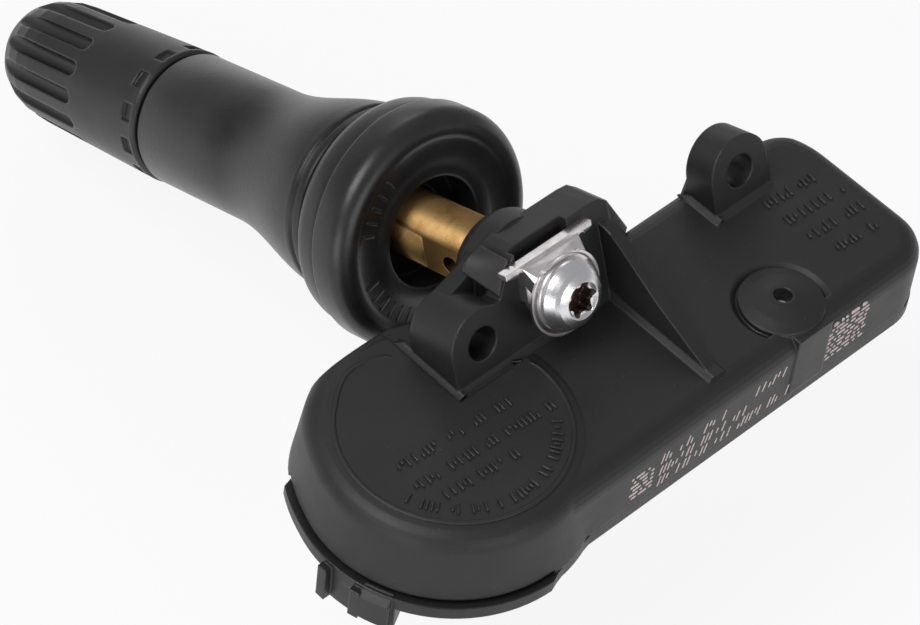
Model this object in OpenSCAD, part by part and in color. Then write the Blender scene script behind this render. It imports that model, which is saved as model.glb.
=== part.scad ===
// Snap-in tyre pressure sensor: rubber valve, brass stem and a sealed electronics housing.
// The origin is the middle of the rim groove, on the valve axis. +X runs along the housing,
// +Y towards the valve cap and +Z out of the housing's top deck.

/* [Valve axis] */
// Angle between the valve axis and the housing's deck, in degrees
tilt = 20.8; // [16:0.2:26]
// Distance from the clamp seat to the middle of the rim groove
groove_s = 17.4; // [16.4:0.1:19]

/* [Rubber valve] */
// Radius of the base flange
flange_r = 9.3; // [8.6:0.1:9.8]
// Thickness of the base flange
flange_t = 4.4; // [3.6:0.1:4.8]
// Width of the groove that the wheel rim snaps into
groove_w = 2.5; // [1.8:0.1:3]
// Radius at the bottom of the rim groove
groove_r = 5.8; // [5.4:0.1:6.4]
// Radius of the retaining bulb past the groove
bulb_r = 7.8; // [7.2:0.1:8.4]
// Length of the bulb and the cone behind it
cone_len = 12.4; // [11:0.2:13.6]
// Radius of the slim rubber neck
neck_r = 5.4; // [5.1:0.1:5.8]
// Distance from the groove to the end of the rubber
neck_end = 23.6; // [22:0.2:25]
// Radius of the pocket in the flange face
pocket_r = 4.3; // [3.8:0.1:5]
// Depth of the pocket in the flange face
pocket_depth = 3; // [1.5:0.1:3.4]

/* [Brass stem] */
// Radius of the stem's tail
stem_r = 2.6; // [2.5:0.05:2.8]
// Distance between the two flats on the tail
flat_gap = 4; // [3.6:0.1:4.6]
// Distance from the seat to the end of the flats
flats_end = 11.8; // [10.5:0.1:12.4]
// Radius of the stem inside the rubber
stem_body_r = 3.7; // [3.2:0.1:4]
// Radius of the outer cap thread
thread_r = 3.85; // [3.7:0.05:4]
// Length of stem that stands out of the rubber
thread_len = 8.9; // [7.5:0.1:9.5]
// Radius of the air bore
air_r = 1.3; // [1:0.05:1.5]
// Radius of the cross hole that lets the air in
cross_r = 0.75; // [0.5:0.05:0.9]
// Distance from the seat to the cross hole
cross_s = 9.3; // [9:0.1:10]

/* [Valve core] */
// Radius of the core's threaded head
core_r = 2.5; // [2.3:0.05:2.6]
// Radius of the chamber below the head
chamber_r = 2; // [1.9:0.05:2.1]
// Length of the core's threaded head
core_head_len = 2.9; // [2.4:0.1:3.2]
// Length of the core's barrel below the head
barrel_len = 3.4; // [3:0.1:3.8]
// Radius of the core pin
pin_r = 0.42; // [0.35:0.01:0.5]
// Travel of the core pin
pin_travel = 1.2; // [0.8:0.1:1.3]
// Length of the core spring
spring_len = 4; // [3.4:0.1:5]
// Radius of the spring wire
spring_wire_r = 0.17; // [0.14:0.01:0.2]
// Turns of the spring
spring_turns = 5; // [4:1:6]

/* [Valve cap] */
// Radius of the cap at its rim
cap_r = 5.45; // [5.2:0.05:5.7]
// Radius of the cap at the shoulder of its nose
cap_nose_r = 5.05; // [4.9:0.05:5.3]
// Length of the cap
cap_len = 20.5; // [18:0.1:21.5]
// Length of the rounded nose
cap_nose_len = 6; // [5:0.1:7]
// Radius of the flat on the nose
cap_flat_r = 1.4; // [1:0.1:2]
// Number of grip flutes on the nose
flute_count = 14; // [10:1:16]
// Radius of one flute
flute_r = 0.62; // [0.4:0.02:0.7]
// Distance from the nose at which the flutes end
flute_len = 11.4; // [9:0.1:12]
// Number of shallow notches round the rim
notch_count = 12; // [8:1:14]
// Thickness of the sealing liner
liner_t = 1; // [0.6:0.1:1.4]

/* [Housing] */
// Distance from the valve axis down to the top deck
deck_drop = 3.6; // [3.4:0.05:4]
// Height of the round end's disc above the deck
disc_step = 0.3; // [0.2:0.05:0.5]
// Height of the housing from the disc to the seam
shell_h = 6.25; // [6.1:0.05:7]
// Wall thickness
wall = 1.2; // [0.9:0.05:1.3]
// Roof thickness
roof_t = 1; // [0.8:0.05:1.1]
// Distance from the valve axis to the round end's centre, along the housing
round_x = 11.9; // [11.4:0.1:12.6]
// Distance from the seat to the round end's centre, towards the front
round_y = 3.4; // [3.2:0.1:3.6]
// Radius of the round end at the deck
round_r = 10.3; // [10.2:0.05:10.6]
// Radius that the round end's wall gains from the deck to the seam
draft = 0.65; // [0.4:0.05:0.8]
// Radius of the flat disc on the round end
disc_r = 8.45; // [7.8:0.05:8.6]
// Distance from the seat to the front wall
front_y = 13.5; // [13.4:0.05:13.8]
// Distance from the seat to the back wall
back_y = 1.8; // [1.7:0.05:2.4]
// Distance from the seat to the flat cut on the back of the round end
round_back_y = 5.7; // [5.5:0.05:6]
// Distance from the valve axis to the long end
end_x = 27.9; // [27:0.1:30]
// Radius of the long end's upright front corner
corner_r = 3.8; // [3:0.1:4.4]
// Radius of the long end's upright back corner
back_corner_r = 3.5; // [2.8:0.1:4]
// Radius of the rounded top edges
edge_r = 1.7; // [1.2:0.1:1.9]
// Height of the shadow groove above the cover flange
slot_h = 0.45; // [0.3:0.05:0.7]
// Depth of the shadow groove
slot_depth = 0.5; // [0.3:0.05:0.6]

/* [Bracket] */
// Radius of the two lugs
lug_r = 2.93; // [2.7:0.05:3.1]
// Radius of the lug holes
lug_hole_r = 1.33; // [1.2:0.01:1.5]
// Distance from the valve axis to the left lug
lug_left_x = 6.6; // [6.4:0.1:7]
// Distance from the valve axis to the right lug
lug_right_x = 19.8; // [19:0.1:21.5]
// Distance from the valve axis down to the lug holes
lug_drop = 1.34; // [1.2:0.02:1.5]
// Thickness of the left lug
lug_left_t = 4.5; // [4:0.1:4.8]
// Thickness of the right lug
lug_right_t = 2.7; // [2.3:0.1:2.8]
// Outer radius of the collar round the stem
collar_r = 4.25; // [4.1:0.05:4.5]
// Distance from the seat to the end of the collar
collar_end = 8; // [7.4:0.1:8.2]
// Length of the collar's long rounding
collar_nose = 3.1; // [2.4:0.1:3.4]
// Height of the hood's flat roof above the valve axis
hood_u = 4; // [3.85:0.05:4.15]
// Depth of the hood behind the seat
hood_t = 3.4; // [2.8:0.1:3.8]
// Distance from the valve axis to the hood's peak
hood_peak_x = 5.9; // [5.6:0.1:6.4]
// Distance from the valve axis to the foot of the hood's slope
hood_foot_x = 11.6; // [11:0.1:12.4]
// Distance from the valve axis to the hood's left end at the seat
hood_left_x = 4; // [3.6:0.1:4.2]
// Thickness of the web that the screw pulls against
web_t = 1.5; // [1.2:0.1:2]
// Depth of the slot behind the clamp plate
slot_s = 0.75; // [0.5:0.05:1]
// Thickness of the rib
rib_t = 1; // [0.8:0.05:1.3]
// Distance from the valve axis to the rib's near face
rib_x = 5.6; // [5.3:0.1:6]
// Distance from the seat to the front end of the rib
rib_reach = 12; // [11:0.1:12.2]

/* [Pressure port] */
// Distance from the valve axis to the port, along the housing
port_x = 14.9; // [14.4:0.1:15.6]
// Distance from the seat to the port, towards the front
port_y = 10; // [9.6:0.1:10.2]
// Radius of the dome round the port
dome_r = 3.25; // [2.9:0.05:3.4]
// Height of the dome above the deck
dome_h = 0.8; // [0.5:0.05:1]
// Width of the moat round the dome
moat_w = 0.6; // [0.35:0.05:0.7]
// Radius of the port hole
port_r = 0.72; // [0.5:0.02:0.8]

/* [Base cover] */
// Thickness of the cover plate
cover_t = 1.1; // [0.9:0.05:1.3]
// How far the cover flange stands proud of the wall
proud = 0.4; // [0.2:0.05:0.6]
// Height of the lip inside the wall
lip_h = 0.7; // [0.5:0.05:0.8]
// Thickness of the lip
lip_t = 0.6; // [0.4:0.05:0.7]
// Thickness of the battery dish
dish_t = 0.8; // [0.6:0.05:0.9]
// Width of the two thin ribs on the grip tab
tab_rib_w = 0.8; // [0.6:0.05:1.1]
// How far the grip tab's ribs stand out
tab_rib_out = 0.65; // [0.4:0.05:0.8]

/* [Clamp] */
// Thickness of the clamp plate
plate_t = 0.8; // [0.6:0.05:1]
// Radius of the clamp plate's pressed dish
plate_r = 3.3; // [3.15:0.05:3.5]
// Height of the plate's top edge above the valve axis
plate_top = 3.6; // [3.45:0.05:3.7]
// Height of the two side ears of the plate
ear_h = 0.75; // [0.6:0.05:0.9]
// How far the dish under the screw head stands out of the plate
dish_h = 1.3; // [1.1:0.05:1.5]
// Radius of the screw head
head_r = 2.75; // [2.6:0.05:2.9]
// Height of the screw head
head_h = 1.75; // [1.6:0.05:2]
// Radius of the screw thread
screw_r = 1.7; // [1.5:0.05:1.8]
// Distance from the seat to the tip of the screw
screw_reach = 6.9; // [6:0.1:7.2]
// Radius across the lobes of the drive recess
drive_r = 1.35; // [1.2:0.05:1.5]
// Depth of the drive recess
drive_depth = 1.4; // [1:0.1:1.6]

/* [Electronics] */
// Radius of the coin cell
cell_r = 8; // [7.6:0.1:8.1]
// Thickness of the coin cell
cell_t = 3.2; // [2.8:0.1:3.2]
// Thickness of the contact tabs
tab_t = 0.2; // [0.15:0.01:0.22]
// Thickness of the circuit board
board_t = 0.8; // [0.6:0.05:0.9]
// Distance from the roof down to the board
board_gap = 3.1; // [3:0.05:3.2]
// Height of the pressure chip
chip_h = 2.2; // [1.8:0.1:2.4]
// Length of the receiver coil
coil_len = 8; // [7:0.1:9]

/* [Fits] */
// Clearance between pieces that are pushed or moulded together
fit = 0.05; // [0.03:0.01:0.08]
// Clearance round the pieces that turn or slide
run = 0.15; // [0.1:0.01:0.2]
// Gap between the rubber and the cap at the seam
seam = 0.25; // [0.15:0.01:0.4]

/* [Hidden] */
$fn = 64;
eps = 0.01;
big = 60;

// Stations along the valve axis, measured from the seat
flange_back = groove_s - groove_w / 2;
flange_face = flange_back - flange_t;
bulb_start = groove_s + groove_w / 2;
rubber_end = groove_s + neck_end;
tip_s = rubber_end + thread_len;
rim_s = rubber_end + seam;
nose_s = rim_s + cap_len;
liner_s = tip_s;
head_top = tip_s - 1.8;
head_bottom = head_top - core_head_len;
barrel_end = head_bottom - barrel_len;
seal_t = 0.4;
plunger_t = 1.2;
plunger_top = barrel_end - seal_t;
plunger_bottom = plunger_top - plunger_t;
spring_seat = plunger_bottom - spring_len;
pin_top = tip_s - 0.4;
plunger_r = chamber_r - 0.45;

// Heights in the housing's own frame
disc_z = -deck_drop;
deck_z = disc_z - disc_step;
seam_z = disc_z - shell_h;
roof_z = deck_z - roof_t;
board_top = roof_z - board_gap;
board_bottom = board_top - board_t;
cover_z = seam_z - cover_t;
cell_top = board_bottom - 0.3 - tab_t;
cell_bottom = cell_top - cell_t;
dish_z = cell_bottom - tab_t - dish_t;
dish_in_r = cell_r + 0.45;
dish_r = dish_in_r + dish_t;
inner_r = round_r - wall;
back_in = max(round_back_y - wall, cell_r - round_y + 0.1);
flange_round_r = round_r + draft + proud;

// Points of an arc, for profiles
function arc(cx, cy, r, a0, a1, n) =
    [for (i = [0:n]) let (a = a0 + (a1 - a0) * i / n) [cx + r * cos(a), cy + r * sin(a)]];

// Places its children at the clamp seat, with the housing's axes
module at_seat() {
    translate([0, -groove_s * cos(tilt), groove_s * sin(tilt)]) children();
}

// Places its children on the valve axis, +Z towards the cap
module on_axis() {
    at_seat() rotate([-90 - tilt, 0, 0]) children();
}

// Extrudes a sketch of the bracket's front view from depth s0 to depth s1 behind the seat
module slab(s0, s1) {
    at_seat() rotate([90 - tilt, 0, 0]) translate([0, 0, -s1]) linear_extrude(s1 - s0) children();
}

// A block between two corners, in the housing's own frame
module block(low, high) {
    at_seat() translate(low) cube(high - low);
}

// A solid ring or disc on the valve axis
module turned(points) {
    on_axis() rotate_extrude() polygon(points);
}

// A bar along the valve axis
module bar(r, s0, s1) {
    on_axis() translate([0, 0, s0]) cylinder(r = r, h = s1 - s0);
}

// Plan of the housing without its round end, inset by a distance
module long_plan(inset, right = end_x, more = 0) {
    r = corner_r + more - inset;
    r2 = back_corner_r + more - inset;
    w = right - inset + round_x;
    h = back_y + front_y - 2 * inset;
    translate([-round_x, -front_y + inset]) {
        square([w - r, h / 2]);
        translate([0, h / 2 - 1]) square([w - r2, h / 2 + 1]);
        translate([0, r]) square([w, h - r - r2]);
        translate([w - r, r]) circle(r);
        translate([w - r2, h - r2]) circle(r2);
    }
}

// Plan of the round end, cut straight at the back
module round_plan(r, back) {
    intersection() {
        translate([-round_x, -round_y]) circle(r, $fn = 96);
        translate([-round_x - 2 * r, -round_y - 2 * r]) square([4 * r, 2 * r + round_y + back]);
    }
}

// Upright extrusion of a plan between two heights
module upright(z0, z1) {
    at_seat() translate([0, 0, z0]) linear_extrude(z1 - z0) children();
}

// Everything above a height in the housing's own frame
module above(z) {
    block([-big, -big, z], [big, big, z + big]);
}

// The round end's outer form: drafted wall, soft shoulder and flat disc
module round_form() {
    top_r = round_r - edge_r;
    intersection() {
        at_seat() translate([-round_x, -round_y, 0]) rotate_extrude($fn = 96)
            polygon(concat(
                [[0, disc_z], [disc_r, disc_z], [disc_r + 0.25, disc_z - 0.1]],
                arc(top_r, disc_z - edge_r - 0.1, edge_r, 72, 6, 6),
                [[round_r + draft, seam_z], [0, seam_z]]));
        upright(seam_z - 1, disc_z + 1) round_plan(round_r + draft + 1, round_back_y);
    }
}

// Profile of a wall with a rounded top edge, from a line inside it
module edge_profile(length, h) {
    polygon(concat([[0, 0], [0, h]], arc(length - edge_r, h - edge_r, edge_r, 90, 0, 6), [[length, 0]]));
}

// The long part's outer form, with rounded top edges
module long_form() {
    h = deck_z - seam_z;
    mid = (back_y - front_y) / 2;
    half = (back_y + front_y) / 2;
    corners = [[corner_r, -front_y + corner_r], [back_corner_r, back_y - back_corner_r]];
    at_seat() translate([0, 0, seam_z]) {
        for (side = [-1, 1]) {
            r = side < 0 ? corner_r : back_corner_r;
            translate([-round_x, mid, 0]) scale([1, side, 1]) rotate([90, 0, 90])
                linear_extrude(end_x + round_x - r) edge_profile(half, h);
        }
        translate([end_x - 6, back_y - back_corner_r, 0]) rotate([90, 0, 0])
            linear_extrude(back_y + front_y - corner_r - back_corner_r) edge_profile(6, h);
        for (c = corners) translate([end_x - c[0], c[1], 0]) rotate_extrude() edge_profile(c[0], h);
    }
}

// One bracket lug with its foot, standing on the deck
module lug(x, t) {
    intersection() {
        slab(0, t) {
            translate([x, -lug_drop]) circle(lug_r);
            translate([x - lug_r, -lug_drop - deck_drop - 2]) square([2 * lug_r, deck_drop + 2]);
        }
        above(deck_z - roof_t / 2);
    }
}

// The hood over the stem's tail: a flat roof with its slopes drawn back to both sides
module hood() {
    foot = -deck_drop - 2;
    rib_edge = rib_x + rib_t;
    intersection() {
        union() {
            slab(0, hood_t) polygon([[-hood_left_x, foot], [-hood_left_x, 1.8],
                [-hood_left_x + 0.9, 3.2], [-hood_left_x + 1.6, hood_u - 0.15], [-1.6, hood_u],
                [1, hood_u], [1, foot]]);
            drawn_back([[rib_edge, 0], [hood_foot_x, hood_t - 0.3], [big, hood_t - 0.3]], 1)
                slab(0, hood_t) polygon([[0, foot], [0, hood_u], [hood_peak_x - 0.8, hood_u],
                    [hood_peak_x + 0.2, hood_u - 0.12], [hood_peak_x + 1.05, hood_u - 0.8],
                    [hood_foot_x, -deck_drop], [hood_foot_x, foot]]);
            slab(hood_t - 0.4, lug_left_t) polygon([[-1, foot], [-1, 3.2], [-hood_left_x, 2.95],
                [-lug_left_x, lug_r - lug_drop - 0.05], [-lug_left_x, foot]]);
            bar(collar_r, hood_t - 0.5, collar_end - collar_nose);
        }
        above(deck_z - roof_t / 2);
    }
    collar();
}

// Cuts the front corner off its child, along a plan line of points [across, depth]
module drawn_back(line, front) {
    last = len(line) - 1;
    difference() {
        children();
        at_seat() rotate([180 - tilt, 0, 0]) translate([0, 0, -big / 2]) linear_extrude(big)
            polygon(concat([for (p = line) [p[0], -p[1]]],
                           [[line[last][0], front], [line[0][0], front]]));
    }
}

// The collar that the stem's tail sits in, with a long rounding towards its end
module collar() {
    tip_r = stem_r + 0.35;
    start = collar_end - collar_nose;
    turned(concat([[0, hood_t - 0.5], [collar_r, hood_t - 0.5]],
                  [for (k = [0:0.125:1]) [collar_r - (collar_r - tip_r) * pow(k, 1.65),
                                          start + collar_nose * k]],
                  [[0, collar_end]]));
}

// The low front wall between the left lug and the clamp plate, with its raised shoulder
module front_wall() {
    foot = -deck_drop - 2;
    shoulder = 2.25;
    intersection() {
        union() {
            slab(0, web_t) polygon([[-lug_left_x, foot], [-lug_left_x, 1.1], [-hood_left_x - 0.4, 1.1],
                [-hood_left_x, 1.8], [-2.9, shoulder - 0.05], [-2.4, shoulder], [-1.9, shoulder - 0.3],
                [-1.5, 1], [0, 1], [0, foot]]);
            foot_strip(-lug_left_x - lug_r, rib_x);
            lug_strip(-lug_left_x - lug_r, lug_left_t);
            foot_strip(lug_right_x - lug_r, lug_right_x + lug_r);
            lug_strip(lug_right_x - lug_r, back_y - 0.5);
        }
        above(deck_z - roof_t / 2);
    }
}

// Narrow sloped strip where a bracket face meets the deck, between two distances
module foot_strip(x0, x1) {
    strip = 0.35;
    face_y = deck_z * tan(tilt);
    at_seat() translate([x0, face_y, deck_z]) rotate([90, 0, 90]) linear_extrude(x1 - x0)
        polygon([[-strip, 0], [-strip, -0.2], [0.4, -0.2], [0.4, strip], [strip * tan(tilt), strip]]);
}

// Narrow sloped strip at the foot of a lug's left side
module lug_strip(x, back) {
    strip = 0.4;
    at_seat() translate([x, back, deck_z]) rotate([90, 0, 0])
        linear_extrude(back + strip - deck_z * tan(tilt))
            polygon([[-strip, 0], [-strip, -0.2], [0.3, -0.2], [0.3, strip], [0, strip]]);
}

// The long rib from the hood down to the front edge
module rib() {
    strip = 0.4;
    y_top = 1;
    at_seat() translate([rib_x, 0, 0]) rotate([90, 0, 90]) linear_extrude(rib_t)
        polygon([[y_top, deck_z - 0.3], [y_top, 1.95], [0.1, 1.95], [-0.6, 1.8], [-1.35, 1.42],
                 [-rib_reach / 2, deck_z + 2.75], [-rib_reach + 1, deck_z + 0.5],
                 [-rib_reach, deck_z + 0.12], [-rib_reach, deck_z - 0.3]]);
    at_seat() translate([0, -1, 0]) rotate([90, 0, 0]) linear_extrude(rib_reach - 1)
        polygon([[rib_x - strip, deck_z - eps], [rib_x, deck_z + strip],
                 [rib_x + rib_t, deck_z + strip], [rib_x + rib_t + strip, deck_z - eps]]);
}

// The dome over the pressure port, with its flat on the front wall
module port_dome() {
    flat_half = 1.75;
    flat_proud = 0.12;
    intersection() {
        at_seat() translate([port_x, -port_y, 0]) rotate_extrude()
            polygon([[0, roof_z + eps], [0, deck_z + dome_h], [1.1, deck_z + dome_h * 0.88],
                     [2.3, deck_z + dome_h * 0.5], [dome_r, deck_z + 0.05], [dome_r, roof_z + eps]]);
        block([-big, -front_y - flat_proud, -big], [big, big, big]);
    }
    block([port_x - flat_half, -front_y - flat_proud, seam_z], [port_x + flat_half, -front_y + wall,
          deck_z - 0.15]);
}

// Soft ring groove round the dome, which ends where the front edge begins to round
module dome_moat() {
    depth = 0.4;
    intersection() {
        at_seat() translate([port_x, -port_y, deck_z]) rotate_extrude()
            polygon([[dome_r - 0.1, 1], [dome_r - 0.1, -depth], [dome_r + 0.1, -depth],
                     [dome_r + moat_w, 0], [dome_r + moat_w, 1]]);
        block([-big, -front_y + edge_r, -big], [big, big, big]);
    }
}

// Step in the disc that keeps the left lug's foot on the deck
module lug_notch() {
    strip = 0.5;
    block([-lug_left_x - lug_r - strip, deck_z * tan(tilt) - strip - 0.1, deck_z], [0, big, big]);
}

// Shadow grooves just above the cover flange, round both ends
module shadow_grooves() {
    slot_r = round_r + draft - slot_depth - 0.1;
    at_seat() translate([-round_x, -round_y, seam_z]) rotate([0, 0, 140])
        rotate_extrude(angle = 131, $fn = 96) translate([slot_r, 0]) square([3, slot_h]);
    at_seat() translate([end_x - corner_r, -front_y + corner_r, seam_z]) rotate([0, 0, -75])
        rotate_extrude(angle = 75) translate([corner_r - slot_depth, 0]) square([3, slot_h]);
}

// Posts from the roof and the cover that hold the board between them
post_r = 0.8;
post_in = wall + 2 * post_r;
post_points = [[-3.2, -front_y + post_in], [-2.2, back_y - post_in],
               [end_x - post_in, -front_y + post_in], [end_x - post_in, back_y - post_in]];

module housing() {
    color([0.16, 0.16, 0.17]) difference() {
        union() {
            difference() {
                union() {
                    round_form();
                    long_form();
                }
                dome_moat();
                lug_notch();
                shadow_grooves();
                upright(seam_z - 1, roof_z) {
                    round_plan(inner_r, back_in);
                    long_plan(wall);
                }
            }
            port_dome();
            lug(-lug_left_x, lug_left_t);
            lug(lug_right_x, lug_right_t);
            hood();
            front_wall();
            rib();
            for (p = post_points) at_seat() translate([p[0], p[1], board_top])
                cylinder(r = post_r, h = roof_z - board_top + 0.3);
        }
        for (p = [[-lug_left_x, lug_left_t], [lug_right_x, lug_right_t]])
            slab(-1, p[1] + eps) translate([p[0], -lug_drop]) circle(lug_hole_r);
        slab(-2, slot_s) translate([-2.4, 1.6]) square([5.2, 5]);
        bar(screw_r + 0.15, -2, web_t + 1);
        bar(stem_r + fit, web_t, collar_end + 1);
        at_seat() translate([port_x, -port_y, roof_z - 1]) cylinder(r = port_r, h = 5);
        at_seat() translate([port_x, -port_y, roof_z - 1]) cylinder(r = port_r + 0.6 + fit, h = 1.3);
    }
}

module base_cover() {
    tab_r = flange_round_r - 0.05;
    color([0.13, 0.13, 0.14]) difference() {
        union() {
            upright(cover_z, seam_z) {
                round_plan(flange_round_r, round_back_y);
                long_plan(0, end_x + proud, proud);
            }
            upright(seam_z - eps, seam_z + lip_h) difference() {
                union() {
                    round_plan(inner_r - fit, round_back_y - wall - fit);
                    long_plan(wall + fit);
                }
                round_plan(dish_in_r, round_back_y);
                long_plan(wall + lip_t);
            }
            at_seat() translate([-round_x, -round_y, 0]) rotate_extrude($fn = 96)
                polygon([[0, seam_z - 0.2], [dish_r + 0.3, seam_z - 0.2], [dish_r + 0.3, cover_z],
                         [dish_r, cover_z - 0.3], [dish_r, dish_z + 0.4], [dish_r - 0.4, dish_z],
                         [0, dish_z]]);
            at_seat() translate([-round_x, -round_y, dish_z + 0.1]) {
                rotate([0, 0, 178]) rotate_extrude(angle = 30.5)
                    translate([dish_r - 0.5, 0]) square([tab_r - dish_r + 0.5, cover_z - dish_z]);
                for (p = [[179.5, 0], [194, 0.5]]) rotate([0, 0, p[0]])
                    translate([tab_r - 0.5, -tab_rib_w / 2, p[1]])
                        cube([0.5 + tab_rib_out, tab_rib_w, seam_z - dish_z - 0.4 - p[1]]);
                rotate([0, 0, 195.5]) rotate_extrude(angle = 11.5) translate([tab_r - 0.5, 0.5])
                    polygon([[0, 0], [0.3 + tab_rib_out, 0], [0.5 + tab_rib_out, 0.3],
                             [0.5 + tab_rib_out, 2.5], [0.2, 3.1], [0, 3.1]]);
            }
            for (p = post_points) at_seat() translate([p[0], p[1], seam_z - 0.3])
                cylinder(r = post_r, h = board_bottom - seam_z + 0.3);
        }
        at_seat() translate([-round_x, -round_y, dish_z + dish_t])
            cylinder(r = dish_in_r, h = 8, $fn = 96);
    }
}

module clamp_plate() {
    face = -plate_t - dish_h;
    neck = head_r - 0.5;
    color([0.80, 0.80, 0.82]) difference() {
        union() {
            slab(-plate_t, 0) {
                circle(neck);
                translate([-2.5, 0]) square([5.5, plate_top - 0.1]);
                translate([-4.1, plate_top - ear_h]) square([8.5, ear_h]);
            }
            hull() {
                slab(-plate_t, -plate_t + 0.1) translate([-2.5, 1.6]) square([5.5, plate_top - 1.9]);
                slab(face + 0.1, face + 0.4) intersection() {
                    circle(plate_r - 0.05);
                    translate([-2.5, 0.8]) square([5, 1.6]);
                }
            }
            turned([[0, -plate_t + eps], [neck, -plate_t + eps], [neck, face + 0.9],
                    [plate_r - 0.3, face + 0.45], [plate_r, face + 0.25], [plate_r, face],
                    [plate_r - 0.2, face], [plate_r - 0.5, face + 0.2], [head_r - 0.1, face + 0.2],
                    [head_r - 0.2, face], [0, face]]);
        }
        slab(face - 1, 1) circle(screw_r + 0.15);
        slab(-3, 1) for (x = [-2.8, 3.3]) translate([x, plate_top - ear_h - 0.02]) circle(0.3);
    }
}

module clamp_screw() {
    under = -plate_t - dish_h;
    face = under - head_h;
    face_r = drive_r + 0.35;
    ring_s = under - 0.55;
    color([0.86, 0.86, 0.88]) difference() {
        turned(concat([[0, face], [face_r - 0.25, face], [face_r, face + 0.1]],
                      [for (k = [0.25:0.25:1]) [face_r + (head_r - face_r) * pow(k, 0.85),
                                                face + 0.1 + (ring_s - face - 0.1) * pow(k, 1.35)]],
                      [[head_r, under - 0.3], [head_r - 0.3, under], [screw_r, under],
                       [screw_r, screw_reach - 0.6], [screw_r - 0.6, screw_reach], [0, screw_reach]]));
        slab(face - 1, face + drive_depth) drive_lobes();
        turned([[0, face - eps], [drive_r + 0.1, face - eps], [drive_r - 0.15, face + 0.25],
                [0, face + 0.25]]);
    }
}

// Six-lobed drive recess
module drive_lobes() {
    lobe = drive_r * 0.23;
    difference() {
        circle(drive_r * 0.88);
        for (i = [0:5]) rotate([0, 0, 60 * i + 30]) translate([drive_r * 0.98, 0]) circle(lobe);
    }
    for (i = [0:5]) rotate([0, 0, 60 * i]) translate([drive_r - lobe, 0]) circle(lobe);
}

module valve_cap() {
    bore_end = liner_s + liner_t;
    nose_shoulder = nose_s - cap_nose_len;
    color([0.12, 0.12, 0.13]) difference() {
        turned(concat(
            [[thread_r + run, rim_s], [cap_r - 0.25, rim_s], [cap_r, rim_s + 0.25],
             [cap_nose_r, nose_shoulder]],
            [for (a = [15:15:90]) [cap_flat_r + (cap_nose_r - cap_flat_r) * cos(a),
                                   nose_shoulder + cap_nose_len * sin(a)]],
            [[0, nose_s], [0, nose_s - 3.2], [2.2, nose_s - 4.2], [2.2, bore_end],
             [thread_r + run, bore_end]]));
        on_axis() for (i = [0:flute_count - 1]) rotate([0, 0, 360 * (i + 0.7) / flute_count]) {
            translate([cap_nose_r + 0.12, 0, nose_s - flute_len]) sphere(flute_r, $fn = 24);
            translate([cap_nose_r + 0.12, 0, nose_s - flute_len]) rotate([0, -2.6, 0])
                cylinder(r = flute_r, h = flute_len + 1, $fn = 24);
        }
        on_axis() for (i = [0:notch_count - 1]) rotate([0, 0, 360 * i / notch_count])
            translate([cap_r - 0.3, -0.7, rim_s + 0.45]) cube([1, 1.4, 1.1]);
    }
}

module cap_liner() {
    color([0.35, 0.10, 0.08]) turned([[0, liner_s], [thread_r - 0.05, liner_s],
        [thread_r - 0.05, liner_s + 0.3], [thread_r - run, liner_s + liner_t - fit],
        [0, liner_s + liner_t - fit]]);
}

// Outline of the brass inside the rubber, from the flange pocket to the rubber's end
function brass_profile(g) = [
    [stem_r + g, flange_face + pocket_depth], [stem_body_r + g, flange_back - 0.9],
    [stem_body_r + g, groove_s + groove_w], [stem_body_r - 0.5 + g, groove_s + groove_w + 0.6],
    [stem_body_r - 0.5 + g, rubber_end - 7], [stem_body_r + g, rubber_end - 6.4],
    [stem_body_r + g, rubber_end - 0.6], [thread_r - 0.3 + g, rubber_end]];

module rubber_stem() {
    face_r = 1.4;
    back_r = 1.3;
    bulb_end = groove_s + groove_w / 2 + cone_len;
    inner = brass_profile(fit);
    color([0.10, 0.10, 0.11]) turned(concat(
        [[pocket_r, flange_face + pocket_depth], [pocket_r, flange_face + 0.35],
         [pocket_r + 0.3, flange_face + 0.05], [pocket_r + 1.1, flange_face + 0.05],
         [pocket_r + 1.4, flange_face + 0.4], [flange_r - face_r - 0.7, flange_face + 0.3],
         [flange_r - face_r - 0.4, flange_face]],
        arc(flange_r - face_r, flange_face + face_r, face_r, -90, 0, 5),
        arc(flange_r - back_r, flange_back - back_r, back_r, 0, 75, 4),
        [[groove_r + 0.6, flange_back], [groove_r, flange_back + 0.6], [groove_r, bulb_start - 0.6],
         [groove_r + 0.5, bulb_start - 0.1], [bulb_r - 0.35, bulb_start], [bulb_r - 0.1, bulb_start + 0.2],
         [bulb_r - 0.1, bulb_start + 0.75], [bulb_r - 0.3, bulb_start + 0.85],
         [bulb_r - 0.3, bulb_start + 1.05], [bulb_r, bulb_start + 1.2]],
        [for (k = [0.16, 0.3, 0.45, 0.6, 0.75, 0.88, 1])
            let (w = (1 + cos(180 * k)) / 2) [neck_r + (bulb_r - neck_r) * w,
                                              bulb_start + cone_len * k]],
        [[neck_r - 0.05, rubber_end - 0.3], [neck_r - 0.35, rubber_end]],
        [for (i = [len(inner) - 1:-1:0]) inner[i]]));
}

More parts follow.
